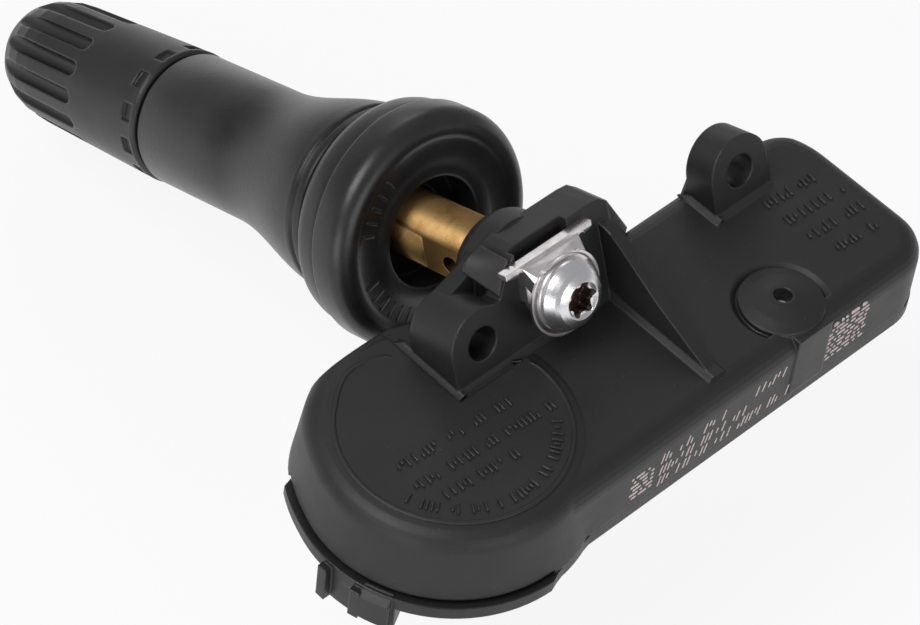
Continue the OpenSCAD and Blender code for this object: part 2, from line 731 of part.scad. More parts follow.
module brass_stem() {
    tail = web_t;
    bore_step = head_bottom - 0.9;
    outer = brass_profile(0);
    color([0.80, 0.62, 0.30]) difference() {
        turned(concat(
            [[0, tail], [stem_r - 0.2, tail], [stem_r, tail + 0.2]], outer,
            [[thread_r - 0.3, rubber_end + 0.2], [thread_r, rubber_end + 0.5], [thread_r, tip_s - 0.5],
             [thread_r - 0.5, tip_s], [core_r + fit, tip_s], [core_r + fit, head_bottom],
             [chamber_r, bore_step], [chamber_r, spring_seat], [air_r, spring_seat],
             [air_r, screw_reach + 1.4], [0, screw_reach + 1.2]]));
        bar(screw_r + fit / 2, tail - 1, screw_reach + 0.3);
        for (side = [-1, 1]) on_axis() translate([side * (flat_gap / 2 + 5), 0, (collar_end
            + fit + flats_end) / 2]) cube([10, 10, flats_end - collar_end - fit], center = true);
        on_axis() translate([-big / 2, 0, cross_s]) rotate([0, 90, 0]) cylinder(r = cross_r, h = big);
    }
}

module core_body() {
    color([0.82, 0.66, 0.34]) difference() {
        turned([[pin_r + 0.25, barrel_end], [chamber_r - 0.25, barrel_end],
                [chamber_r - 0.25, barrel_end + 0.8], [chamber_r - 0.55, barrel_end + 0.9],
                [chamber_r - 0.55, head_bottom - 0.6], [chamber_r - 0.1, head_bottom],
                [core_r, head_bottom], [core_r, head_top - 0.3], [core_r - 0.3, head_top],
                [pin_r + 0.25, head_top]]);
        on_axis() for (side = [-1, 1]) translate([side * (core_r + 0.3), 0, head_top])
            cube([2.6, 6, 1.8], center = true);
    }
}

module core_gasket() {
    low = barrel_end + 0.9;
    color([0.75, 0.12, 0.10]) turned([[chamber_r - 0.55 + fit, low + fit],
        [chamber_r - fit, low + fit], [chamber_r - fit, head_bottom - 0.9 - fit],
        [chamber_r - 0.55 + fit, head_bottom - 0.6 - fit]]);
}

module core_pin() {
    color([0.78, 0.62, 0.32]) turned([[0, spring_seat + pin_travel + 0.3],
        [pin_r, spring_seat + pin_travel + 0.3], [pin_r, pin_top - 0.5],
        [pin_r + 0.18, pin_top - 0.4], [pin_r + 0.18, pin_top - 0.1], [pin_r, pin_top], [0, pin_top]]);
}

module core_plunger() {
    color([0.76, 0.60, 0.30]) turned([[pin_r, plunger_bottom], [plunger_r - 0.5, plunger_bottom],
        [plunger_r - 0.5, plunger_bottom + 0.5], [plunger_r, plunger_bottom + 0.5],
        [plunger_r, plunger_top], [pin_r, plunger_top]]);
}

module core_seat_seal() {
    color([0.08, 0.08, 0.08]) turned([[pin_r, plunger_top], [plunger_r - 0.05, plunger_top],
        [plunger_r - 0.05, barrel_end], [pin_r, barrel_end]]);
}

module core_spring() {
    coil_r = plunger_r - spring_wire_r - 0.05;
    sides = 8;
    per_turn = 14;
    rings = spring_turns * per_turn;
    low = spring_seat + spring_wire_r;
    high = plunger_bottom + 0.5 - spring_wire_r - 0.02;
    points = [for (i = [0:rings], j = [0:sides - 1])
        let (a = 360 * i / per_turn, b = 360 * j / sides, r = coil_r + spring_wire_r * cos(b))
        [r * cos(a), r * sin(a), low + (high - low) * i / rings + spring_wire_r * sin(b)]];
    walls = [for (i = [0:rings - 1], j = [0:sides - 1]) let (k = (j + 1) % sides)
        [i * sides + j, i * sides + k, (i + 1) * sides + k, (i + 1) * sides + j]];
    color([0.70, 0.70, 0.72]) on_axis() polyhedron(points, concat(
        [[for (j = [sides - 1:-1:0]) j]], walls, [[for (j = [0:sides - 1]) rings * sides + j]]));
}

module circuit_board() {
    color([0.10, 0.30, 0.16]) upright(board_bottom, board_top) {
        round_plan(inner_r - 0.2, round_back_y - wall - 0.2);
        long_plan(wall + 0.3);
    }
}

module battery_cell() {
    color([0.72, 0.73, 0.75]) at_seat() translate([-round_x, -round_y, cell_bottom])
        rotate_extrude($fn = 96) polygon([[0, 0], [cell_r - 1.1, 0], [cell_r - 1.1, 0.3],
            [cell_r - 0.7, 0.3], [cell_r - 0.2, 0.6], [cell_r, 1], [cell_r, cell_t - 0.3],
            [cell_r - 0.3, cell_t], [0, cell_t]]);
}

module battery_tab_positive() {
    x = -round_x;
    color([0.78, 0.77, 0.72]) {
        block([x - 4.5, -round_y - 2, cell_top], [x + 3.5, -round_y + 2, cell_top + tab_t]);
        block([x - 4.5, -round_y - 2, cell_top], [x - 4.5 + tab_t, -round_y + 2, board_bottom]);
    }
}

module battery_tab_negative() {
    x = -round_x;
    r = cell_r + 0.1;
    color([0.74, 0.73, 0.69]) {
        block([x - 3, -round_y - 1.5, cell_bottom - tab_t], [x + r + tab_t, -round_y + 1.5, cell_bottom]);
        block([x + r, -round_y - 1.5, cell_bottom - tab_t], [x + r + tab_t, -round_y + 1.5, board_bottom]);
    }
}

module pressure_chip() {
    half = 2.1;
    color([0.30, 0.30, 0.32]) difference() {
        block([port_x - half - 0.6, -port_y - half, board_top],
              [port_x + half + 0.6, -port_y + half, board_top + chip_h]);
        at_seat() translate([port_x, -port_y, board_top + chip_h - 0.5]) cylinder(r = 0.7, h = 1);
    }
}

module port_gasket() {
    color([0.55, 0.18, 0.14]) at_seat() translate([port_x, -port_y, board_top + chip_h])
        difference() {
            cylinder(r = 1.9, h = roof_z - board_top - chip_h);
            translate([0, 0, -1]) cylinder(r = 0.9, h = 4);
        }
}

module port_filter() {
    color([0.92, 0.92, 0.90]) at_seat() translate([port_x, -port_y, roof_z])
        cylinder(r = port_r + 0.6, h = 0.3 - eps);
}

coil_x = end_x - wall - 6.2;
coil_y = -5.4;
module receiver_coil_core() {
    half = coil_len / 2;
    h = board_gap - 0.5;
    color([0.20, 0.19, 0.19]) at_seat() translate([coil_x, coil_y, board_top]) {
        for (side = [-1, 1]) translate([side * (half - 0.5) - 0.5, -1.4, 0]) cube([1, 2.8, h]);
        translate([-half + 0.5, -0.7, 0.5]) cube([coil_len - 1, 1.4, h - 1]);
    }
}

module receiver_coil_winding() {
    half = coil_len / 2 - 1 - fit;
    h = board_gap - 0.5;
    color([0.62, 0.30, 0.14]) at_seat() translate([coil_x, coil_y, board_top]) difference() {
        translate([-half, -1.15, 0.15]) cube([2 * half, 2.3, h - 0.3]);
        translate([-half - 1, -0.7 - fit, 0.5 - fit]) cube([2 * half + 2, 1.4 + 2 * fit, h - 1 + 2 * fit]);
    }
}

module antenna_loop() {
    h = board_gap - 0.5;
    x0 = 0.8;
    x1 = 10.6;
    y0 = -8.8;
    color([0.80, 0.64, 0.36]) {
        for (x = [x0, x1]) block([x, y0, board_top], [x + 0.5, y0 + 0.8, board_top + h]);
        block([x0, y0, board_top + h - 0.5], [x1 + 0.5, y0 + 0.8, board_top + h]);
    }
}

module timing_crystal() {
    color([0.75, 0.76, 0.78]) at_seat() translate([8.4, -2.6, board_top]) linear_extrude(1.1) {
        square([3.2, 1.7], center = true);
        for (x = [-1, 1], y = [-1, 1]) translate([x * 1.35, y * 0.6]) circle(0.5);
        square([3.7, 1.2], center = true);
    }
}

module board_capacitors() {
    color([0.66, 0.52, 0.38])
        for (p = [[1.4, -2.2], [4, -2.2], [4, -5.6], [6.6, -5.6]])
            block([p[0], p[1], board_top], [p[0] + 1.6, p[1] + 0.9, board_top + 0.8]);
}

module motion_chip() {
    color([0.08, 0.08, 0.09]) block([-9.2, -8.6, board_top], [-5.2, -4.6, board_top + 1.3]);
}

housing();
base_cover();
clamp_plate();
clamp_screw();
valve_cap();
cap_liner();
rubber_stem();
brass_stem();
core_body();
core_gasket();
core_pin();
core_plunger();
core_seat_seal();
core_spring();
circuit_board();
battery_cell();
battery_tab_positive();
battery_tab_negative();
pressure_chip();
port_gasket();
port_filter();
receiver_coil_core();
receiver_coil_winding();
antenna_loop();
timing_crystal();
board_capacitors();
motion_chip();
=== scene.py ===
"""Looks of a snap-in tyre pressure sensor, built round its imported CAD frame.

Lengths in the classes are millimetres. The row frame has its origin in the middle of the rim
groove; the housing's own frame starts at the clamp seat and is parallel to it.
"""

import logging
import math
import random
from dataclasses import dataclass, field
from enum import Enum
from typing import Any, Sequence

import bmesh
import bpy
from mathutils import Matrix, Vector


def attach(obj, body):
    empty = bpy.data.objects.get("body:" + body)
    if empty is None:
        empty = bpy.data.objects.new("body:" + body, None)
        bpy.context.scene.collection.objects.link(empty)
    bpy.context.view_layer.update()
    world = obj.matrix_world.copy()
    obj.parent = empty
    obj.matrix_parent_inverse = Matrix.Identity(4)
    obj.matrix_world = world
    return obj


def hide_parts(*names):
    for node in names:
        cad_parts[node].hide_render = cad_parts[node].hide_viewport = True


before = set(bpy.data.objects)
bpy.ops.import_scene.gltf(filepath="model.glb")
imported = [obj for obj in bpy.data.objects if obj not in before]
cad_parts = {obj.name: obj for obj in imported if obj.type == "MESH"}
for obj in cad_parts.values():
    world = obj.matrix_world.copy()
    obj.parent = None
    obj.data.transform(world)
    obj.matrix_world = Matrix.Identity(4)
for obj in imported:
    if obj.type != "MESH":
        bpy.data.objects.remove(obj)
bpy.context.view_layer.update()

LOG = logging.getLogger("sensor")
MM = 0.001
TILT = math.radians(20.8)
SEAT_TO_GROOVE = 17.4
AXIS = Vector((0.0, math.cos(TILT), -math.sin(TILT)))
LIFT = Vector((0.0, math.sin(TILT), math.cos(TILT)))
ACROSS = Vector((1.0, 0.0, 0.0))
UP = Vector((0.0, 0.0, 1.0))
SEAT = AXIS * -SEAT_TO_GROOVE

Colour = tuple[float, float, float]


def housing_point(x: float, y: float, z: float) -> Vector:
    """Point of the housing's own frame, in millimetres of the row frame."""
    return SEAT + Vector((x, y, z))


def valve_point(radius: float, angle: float, s: float) -> Vector:
    """Point round the valve axis, at a distance s from the seat, in millimetres."""
    return SEAT + AXIS * s + (ACROSS * math.cos(angle) + LIFT * math.sin(angle)) * radius


def ramp(value: float, start: float, run: float) -> float:
    """Share of a run past its start that a value has covered, 0 to 1."""
    return max(0.0, min(1.0, (value - start) / run))


class Body(Enum):
    """CAD bodies that new pieces ride on."""

    ROOT = "root"


class Slot(Enum):
    """The record's material slots of the new pieces."""

    HOUSING = "housing_plastic"
    COVER = "cover_plastic"
    RUBBER = "rubber"
    BRASS = "stem_brass"
    PLATE = "plate_steel"


# Shader graph


class Value:
    """One number in a shader; arithmetic on it adds the Math nodes."""

    def __init__(self, nodes: "Nodes", socket: bpy.types.NodeSocket) -> None:
        """Keeps the tree and the output socket that holds the number."""
        self.nodes = nodes
        self.socket = socket

    def math(self, operation: str, *others: "Value | float") -> "Value":
        """Adds one Math node.

        Args:
            operation: the node's operation.
            others: its further inputs.

        Returns:
            The node's result.
        """
        inputs = {i: v for i, v in enumerate((self, *others))}
        return self.nodes.value("ShaderNodeMath", {"operation": operation}, inputs)

    def __add__(self, other: "Value | float") -> "Value":
        """Sum."""
        return self.math("ADD", other)

    def __mul__(self, other: "Value | float") -> "Value":
        """Product."""
        return self.math("MULTIPLY", other)

    def __sub__(self, other: "Value | float") -> "Value":
        """Difference."""
        return self.math("SUBTRACT", other)

    def __rsub__(self, other: float) -> "Value":
        """Number minus value."""
        return (self * -1.0) + other

    def above(self, edge: float, soft: float) -> "Value":
        """Smooth step: 0 below the edge, 1 above it.

        Args:
            edge: middle of the step.
            soft: half its width.

        Returns:
            The mask.
        """
        return self.nodes.value(
            "ShaderNodeMapRange",
            {"interpolation_type": "SMOOTHSTEP"},
            {0: self, 1: edge - soft, 2: edge + soft, 3: 0.0, 4: 1.0},
        )

    def below(self, edge: float, soft: float) -> "Value":
        """Smooth step: 1 below the edge, 0 above it."""
        return 1.0 - self.above(edge, soft)


class Nodes:
    """Node tree that takes its nodes through one method."""

    def __init__(self, tree: bpy.types.NodeTree) -> None:
        """Empties the tree and keeps it."""
        self.tree = tree
        self.tree.nodes.clear()

    def node(
        self,
        kind: str,
        settings: dict[str, Any] | None = None,
        sockets: dict[int | str, Any] | None = None,
    ) -> bpy.types.Node:
        """Adds a node.

        Args:
            kind: the node's type.
            settings: its properties, set first.
            sockets: values or links of its inputs, by name or number.

        Returns:
            The node.
        """
        made = self.tree.nodes.new(kind)
        for key, setting in (settings or {}).items():
            setattr(made, key, setting)
        for key, given in (sockets or {}).items():
            if isinstance(given, Value):
                given = given.socket
            if isinstance(given, bpy.types.NodeSocket):
                self.tree.links.new(given, made.inputs[key])
            else:
                made.inputs[key].default_value = given
        return made

    def value(self, kind: str, settings: dict[str, Any], sockets: dict[int | str, Any]) -> Value:
        """First output of a new node, as a number."""
        return Value(self, self.node(kind, settings, sockets).outputs[0])

    def rays(self) -> tuple[Value, Value]:
        """Masks of the camera's own rays, through glass too, and of mirrored rays."""
        path = self.node("ShaderNodeLightPath").outputs
        seen = Value(self, path["Is Camera Ray"]).math(
            "MAXIMUM", Value(self, path["Is Transmission Ray"])
        )
        return seen, Value(self, path["Is Glossy Ray"])


class Graph(Nodes):
    """Node tree of one material, with millimetre coordinates of the row frame."""

    def __init__(self, name: str) -> None:
        """Starts an empty material with its shader and output.

        Args:
            name: the material's name.
        """
        self.material = bpy.data.materials.new(name)
        self.material.use_nodes = True
        super().__init__(self.material.node_tree)
        self.shader = self.node("ShaderNodeBsdfPrincipled")
        self.node("ShaderNodeOutputMaterial", {}, {"Surface": self.shader.outputs[0]})
        place = self.node("ShaderNodeTexCoord").outputs["Object"]
        self.place = self.vector("SCALE", place, scale=1000.0)

    def vector(
        self, operation: str, first: Any, second: Any = None, scale: float | None = None
    ) -> bpy.types.NodeSocket:
        """Adds a Vector Math node that gives a vector.

        Args:
            operation: the node's operation.
            first: first vector.
            second: second vector, where there is one.
            scale: factor, for the operation SCALE.

        Returns:
            The vector's socket.
        """
        sockets: dict[int | str, Any] = {0: first}
        if second is not None:
            sockets[1] = second
        if scale is not None:
            sockets["Scale"] = scale
        return self.node("ShaderNodeVectorMath", {"operation": operation}, sockets).outputs[0]

    def dot(self, first: Any, second: Any) -> Value:
        """Dot product of two vectors."""
        made = self.node(
            "ShaderNodeVectorMath", {"operation": "DOT_PRODUCT"}, {0: first, 1: second}
        )
        return Value(self, made.outputs["Value"])

    def noise(
        self, scale: float, detail: float = 2.0, place: Any = None, rough: float = 0.5
    ) -> Value:
        """Noise between 0 and 1.

        Args:
            scale: features per millimetre.
            detail: number of octaves.
            place: coordinates, instead of the row frame's.
            rough: weight of the finer octaves.

        Returns:
            The noise.
        """
        sockets = {
            "Vector": place or self.place,
            "Scale": scale,
            "Detail": detail,
            "Roughness": rough,
        }
        return self.value("ShaderNodeTexNoise", {}, sockets)

    def cells(self, scale: float) -> Value:
        """Distance to the nearest point of a random scatter, in cells."""
        return self.value(
            "ShaderNodeTexVoronoi", {"feature": "F1"}, {"Vector": self.place, "Scale": scale}
        )

    def mix(self, factor: "Value | float", first: Any, second: Any) -> bpy.types.NodeSocket:
        """Mixes two colours.

        Args:
            factor: share of the second colour.
            first: colour or its socket.
            second: colour or its socket.

        Returns:
            The mixed colour's socket.
        """
        pair = [(*c, 1.0) if isinstance(c, tuple) and len(c) == 3 else c for c in (first, second)]
        made = self.node(
            "ShaderNodeMix", {"data_type": "RGBA"}, {0: factor, 6: pair[0], 7: pair[1]}
        )
        return made.outputs[2]

    def along_valve(self) -> Value:
        """Distance from the seat along the valve axis, in millimetres."""
        return self.dot(self.place, tuple(AXIS)) + SEAT_TO_GROOVE

    def off_axis(self) -> Value:
        """Distance from the valve axis, in millimetres."""
        onto = self.dot(self.place, tuple(AXIS))
        foot = self.node("ShaderNodeCombineXYZ", {}, {0: 0.0, 1: onto * AXIS.y, 2: onto * AXIS.z})
        gap = self.vector("SUBTRACT", self.place, foot.outputs[0])
        made = self.node("ShaderNodeVectorMath", {"operation": "LENGTH"}, {0: gap})
        return Value(self, made.outputs["Value"])

    def soft_edges(self, radius: float, normal: Any = None) -> bpy.types.NodeSocket:
        """Normal that rounds off every edge by a radius in millimetres."""
        sockets: dict[int | str, Any] = {"Radius": radius * MM}
        if normal is not None:
            sockets["Normal"] = normal
        return self.node("ShaderNodeBevel", {"samples": 6}, sockets).outputs[0]

    def edge_mask(self, rounded: bpy.types.NodeSocket) -> Value:
        """Mask of the edges, where the rounded normal leaves the face's own."""
        true = self.node("ShaderNodeNewGeometry").outputs["Normal"]
        return (1.0 - self.dot(rounded, true)).above(0.06, 0.06)

    def bump(self, height: Value, depth: float, normal: Any) -> bpy.types.NodeSocket:
        """Adds a relief.

        Args:
            height: the relief's height, 0 to 1.
            depth: its full depth in millimetres.
            normal: the normal that it stands on.

        Returns:
            The new normal's socket.
        """
        sockets = {"Height": height, "Distance": depth * MM, "Strength": 1.0, "Normal": normal}
        return self.node("ShaderNodeBump", {}, sockets).outputs[0]

    def dress(self, **inputs: Any) -> bpy.types.Material:
        """Sets the shader's inputs.

        Args:
            inputs: values or links by socket name, with _ for a space.

        Returns:
            The finished material.
        """
        for key, given in inputs.items():
            socket = self.shader.inputs[key.replace("_", " ").title()]
            if isinstance(given, Value):
                given = given.socket
            if isinstance(given, bpy.types.NodeSocket):
                self.tree.links.new(given, socket)
            elif isinstance(given, tuple):
                socket.default_value = (*given, 1.0)
            else:
                socket.default_value = given
        return self.material


# Finishes


@dataclass(frozen=True)
class MouldedPlastic:
    """Spark-eroded moulded plastic: fine grain, soft edges that are paler from wear and from a
    painted highlight, and faint flow marks.
    """

    name: str
    colour: Colour
    roughness: float = 0.5
    grain: float = 9.0
    depth: float = 0.012
    edge: float = 0.22
    polish: float = 0.2

    def build(self) -> bpy.types.Material:
        """Returns the material."""
        g = Graph(self.name)
        rounded = g.soft_edges(self.edge)
        wear_and_highlight = g.edge_mask(rounded)
        flow = g.noise(0.16, 3.0)
        grain = g.noise(self.grain, 3.0, rough=0.6)
        # Edges turn paler: partly wear, partly a painted highlight on the rounded edges.
        pale = tuple(min(1.0, c * 2.0 + 0.006) for c in self.colour)
        dark = tuple(c * 0.72 for c in self.colour)
        base = g.mix(flow.above(0.5, 0.25), dark, self.colour)
        base = g.mix(wear_and_highlight * 0.75, base, pale)
        dust = g.cells(1.7).below(0.07, 0.04) * g.noise(0.5).above(0.56, 0.08)
        base = g.mix(dust * 0.35, base, (0.16, 0.155, 0.15))
        rough = g.noise(0.45, 3.0) * 0.14 + (self.roughness - 0.07) - wear_and_highlight * self.polish
        normal = g.bump(grain, self.depth, rounded)
        normal = g.bump(flow, 0.06, normal)
        return g.dress(base_color=base, roughness=rough, normal=normal)


@dataclass(frozen=True)
class MouldedRubber:
    """Satin rubber: smooth skin with soft swells, bloom and specks of dust."""

    name: str
    colour: Colour
    roughness: float = 0.34
    edge: float = 0.3

    def build(self) -> bpy.types.Material:
        """Returns the material."""
        g = Graph(self.name)
        rounded = g.soft_edges(self.edge)
        bloom = g.noise(0.22, 4.0, rough=0.6)
        skin = g.noise(3.2, 4.0)
        swell = g.noise(0.12, 1.0)
        base = g.mix(
            bloom.above(0.52, 0.16), self.colour, tuple(c * 1.5 + 0.003 for c in self.colour)
        )
        specks = g.cells(1.3).below(0.055, 0.03) * g.noise(0.4).above(0.5, 0.1)
        base = g.mix(specks * 0.4, base, (0.17, 0.16, 0.15))
        rough = bloom * 0.16 + skin * 0.06 + (self.roughness - 0.11)
        normal = g.bump(skin, 0.012, rounded)
        normal = g.bump(swell, 0.12, normal)
        return g.dress(base_color=base, roughness=rough, normal=normal)


@dataclass(frozen=True)
class TurnedBrass:
    """Turned brass with fine tool rings, tarnish patches and dark pits."""

    name: str
    colour: Colour
    roughness: float = 0.26

    def build(self) -> bpy.types.Material:
        """Returns the material."""
        g = Graph(self.name)
        rounded = g.soft_edges(0.08)
        s = g.along_valve()
        streak = g.noise(1.0, 3.0, place=g.node(
            "ShaderNodeCombineXYZ", {}, {0: s * 14.0, 1: g.off_axis() * 1.5, 2: 0.0}
        ).outputs[0])
        tarnish = g.noise(0.55, 5.0, rough=0.65)
        pits = g.cells(2.6).below(0.08, 0.05) * tarnish.above(0.5, 0.1)
        deep = tuple(c * k for c, k in zip(self.colour, (0.62, 0.50, 0.36)))
        base = g.mix(tarnish.above(0.55, 0.16) * 0.8, self.colour, deep)
        base = g.mix(streak.above(0.56, 0.14) * 0.3, base, deep)
        base = g.mix(pits * 0.8, base, (0.07, 0.045, 0.02))
        rough = tarnish * 0.22 + streak * 0.12 + (self.roughness - 0.14)
        normal = g.bump(streak, 0.01, rounded)
        normal = g.bump(tarnish, 0.02, normal)
        return g.dress(base_color=base, metallic=1.0, roughness=rough, normal=normal)


@dataclass(frozen=True)
class BrightMetal:
    """Plated or stamped metal: fine brushing, handling marks, bright soft edges, and painted shade
    in a drive recess and on the lower side of a ring.
    """

    name: str
    colour: Colour
    roughness: float = 0.22
    edge: float = 0.1
    brush: Colour = (0.6, 14.0, 14.0)
    marks: float = 0.5
    drive_shade_r: float = 0.0
    drive_shade_s: float = 0.0
    painted_shade_ring: tuple[float, float] = (0.0, 0.0)

    def build(self) -> bpy.types.Material:
        """Returns the material."""
        g = Graph(self.name)
        rounded = g.soft_edges(self.edge)
        brushed = g.noise(1.0, 3.0, place=g.vector("MULTIPLY", g.place, self.brush))
        cloud = g.noise(0.8, 4.0, rough=0.6)
        stain = cloud.above(0.58, 0.12)
        base = g.mix(stain * self.marks, self.colour, tuple(c * 0.62 for c in self.colour))
        base = g.mix(brushed.above(0.5, 0.3) * 0.25, base, tuple(c * 0.8 for c in self.colour))
        # Painted shade: the bottom of the screw's drive recess is darkened to a dull brown.
        if self.drive_shade_r > 0.0:
            deep = g.along_valve().above(self.drive_shade_s, 0.12)
            base = g.mix(deep * g.off_axis().below(self.drive_shade_r, 0.1), base, (0.17, 0.13, 0.115))
        # Painted shade: the lower side of a ring round the axis is darkened where the plate's dish
        # falls in shadow.
        if self.painted_shade_ring[1] > 0.0:
            inner, outer = self.painted_shade_ring
            ring = g.off_axis().above(inner, 0.12) * g.off_axis().below(outer, 0.1)
            shaded_lower_side = g.dot(g.vector("SUBTRACT", g.place, SEAT), LIFT).below(1.2, 0.6)
            base = g.mix(ring * shaded_lower_side * 0.85, base, tuple(c * 0.3 for c in self.colour))
        rough = cloud * 0.16 + brushed * 0.1 + (self.roughness - 0.12)
        normal = g.bump(brushed, 0.005, rounded)
        normal = g.bump(cloud, 0.006, normal)
        return g.dress(base_color=base, metallic=1.0, roughness=rough, normal=normal)


@dataclass(frozen=True)
class Ink:
    """Pad-printed ink, thin and slightly broken."""

    name: str
    colour: Colour

    def build(self) -> bpy.types.Material:
        """Returns the material."""
        g = Graph(self.name)
        broken = g.noise(5.0, 3.0).above(0.36, 0.07)
        base = g.mix(broken, tuple(c * 0.35 for c in self.colour), self.colour)
        rough = g.noise(6.0) * 0.2 + 0.5
        normal = g.bump(g.noise(9.0), 0.01, g.soft_edges(0.02))
        return g.dress(base_color=base, roughness=rough, normal=normal)


@dataclass(frozen=True)
class InnerPart:
    """Finish of a part inside the housing: two tones, grain and soft edges."""

    name: str
    colour: Colour
    second: Colour
    roughness: float = 0.5
    metallic: float = 0.0
    scale: float = 2.0

    def build(self) -> bpy.types.Material:
        """Returns the material."""
        g = Graph(self.name)
        cloud = g.noise(self.scale, 4.0, rough=0.6)
        base = g.mix(cloud.above(0.5, 0.1), self.colour, self.second)
        rough = cloud * 0.2 + (self.roughness - 0.1)
        normal = g.bump(g.noise(self.scale * 4.0, 3.0), 0.01, g.soft_edges(0.06))
        return g.dress(base_color=base, metallic=self.metallic, roughness=rough, normal=normal)


@dataclass(frozen=True)
class BoardMask:
    """Solder mask with buried copper tracks and pads."""

    name: str

    def build(self) -> bpy.types.Material:
        """Returns the material."""
        g = Graph(self.name)
        tracks = g.value(
            "ShaderNodeTexBrick",
            {"offset": 0.5},
            {"Vector": g.place, "Scale": 0.42, "Mortar Size": 0.03, "Color1": (0, 0, 0, 1),
             "Color2": (0, 0, 0, 1), "Mortar": (1, 1, 1, 1)},
        )
        weave = g.noise(5.0, 2.0)
        base = g.mix(tracks, (0.008, 0.09, 0.035), (0.03, 0.2, 0.08))
        base = g.mix(weave * 0.2, base, (0.01, 0.05, 0.02))
        normal = g.bump(tracks, 0.03, g.soft_edges(0.05))
        return g.dress(base_color=base, roughness=weave * 0.1 + 0.25, normal=normal)


@dataclass(frozen=True)
class Winding:
    """Enamelled copper wire, wound side by side along X."""

    name: str

    def build(self) -> bpy.types.Material:
        """Returns the material."""
        g = Graph(self.name)
        turns = (g.dot(g.place, (1.0, 0.0, 0.0)) * 42.0).math("SINE") * 0.5 + 0.5
        base = g.mix(turns, (0.16, 0.04, 0.015), (0.62, 0.22, 0.08))
        normal = g.bump(turns, 0.05, g.soft_edges(0.05))
        rough = g.noise(3.0) * 0.15 + 0.25
        return g.dress(base_color=base, metallic=0.8, roughness=rough, normal=normal)


# Meshes


@dataclass
class Shape:
    """Points in millimetres of the row frame, and the faces between them."""

    points: list[Vector] = field(default_factory=list)
    faces: list[tuple[int, ...]] = field(default_factory=list)

    def loft(self, rings: Sequence[Sequence[Vector]], caps: bool = True) -> None:
        """Skins a row of closed rings that have the same number of points.

        Args:
            rings: the rings, in order.
            caps: whether the first and the last ring are filled.
        """
        start = len(self.points)
        n = len(rings[0])
        for ring in rings:
            self.points.extend(ring)
        for i in range(len(rings) - 1):
            for j in range(n):
                a, b = start + i * n + j, start + i * n + (j + 1) % n
                self.faces.append((a, b, b + n, a + n))
        if caps:
            self.faces.append(tuple(reversed(range(start, start + n))))
            last = start + (len(rings) - 1) * n
            self.faces.append(tuple(range(last, last + n)))

    def dash(
        self, centre: Vector, along: Vector, up: Vector, length: float, width: float, height: float
    ) -> None:
        """Adds a raised dash with round ends and a soft top.

        Args:
            centre: middle of its foot.
            along: direction of its length.
            up: direction that it stands out in.
            length: full length.
            width: full width.
            height: how far it stands out.
        """
        along = along.normalized()
        up = up.normalized()
        side = up.cross(along)
        half = max(0.0, (length - width) / 2)
        sunk, rounding = 0.12, width * 0.16
        rings = []
        for level, inset in ((-sunk, 0.0), (height * 0.6, 0.0), (height, rounding)):
            r = width / 2 - inset
            ring = []
            for end, turn in ((1, -90), (-1, 90)):
                for k in range(5):
                    a = math.radians(turn + 45 * k)
                    ring.append(
                        centre
                        + up * level
                        + along * (end * half + r * math.cos(a))
                        + side * (r * math.sin(a))
                    )
            rings.append(ring)
        self.loft(rings)

    def build(self, name: str, material: bpy.types.Material, body: Body, slot: Slot,
              smooth: float = 35.0) -> bpy.types.Object:
        """Makes the object, and lets it ride on its body.

        Args:
            name: the piece's name.
            material: its finish.
            body: the CAD body that it rides on.
            slot: its material slot; not used.
            smooth: angle in degrees up to which edges are shaded smooth.

        Returns:
            The object.
        """
        mesh = bpy.data.meshes.new(name)
        mesh.from_pydata([p * MM for p in self.points], [], self.faces)
        work = bmesh.new()
        work.from_mesh(mesh)
        bmesh.ops.remove_doubles(work, verts=work.verts, dist=1e-7)
        bmesh.ops.recalc_face_normals(work, faces=work.faces)
        work.to_mesh(mesh)
        work.free()
        return place(mesh, name, material, body, slot, smooth)


def place(mesh: bpy.types.Mesh, name: str, material: bpy.types.Material, body: Body, slot: Slot,
          smooth: float | None = None) -> bpy.types.Object:
    """Puts a finished mesh into the scene.

    Args:
        mesh: the mesh, in metres of the row frame.
        name: the piece's name.
        material: its finish.
        body: the CAD body that it rides on.
        slot: its material slot; not used.
        smooth: angle in degrees up to which edges are shaded smooth; None keeps the shading.

    Returns:
        The object.
    """
    mesh.materials.clear()
    mesh.materials.append(material)
    piece = bpy.data.objects.new(name, mesh)
    bpy.context.scene.collection.objects.link(piece)
    if smooth is not None:
        mesh.shade_smooth()
        mesh.set_sharp_from_angle(angle=math.radians(smooth))
    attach(piece, body.value)
    return piece


def dress_node(name: str, material: bpy.types.Material) -> None:
    """Gives a CAD node its finish.

    Args:
        name: the node.
        material: the finish.
    """
    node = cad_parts[name]
    for index in range(max(1, len(node.material_slots))):
        if index < len(node.material_slots):
            node.material_slots[index].material = material
        else:
            node.data.materials.append(material)


# Sub-assemblies


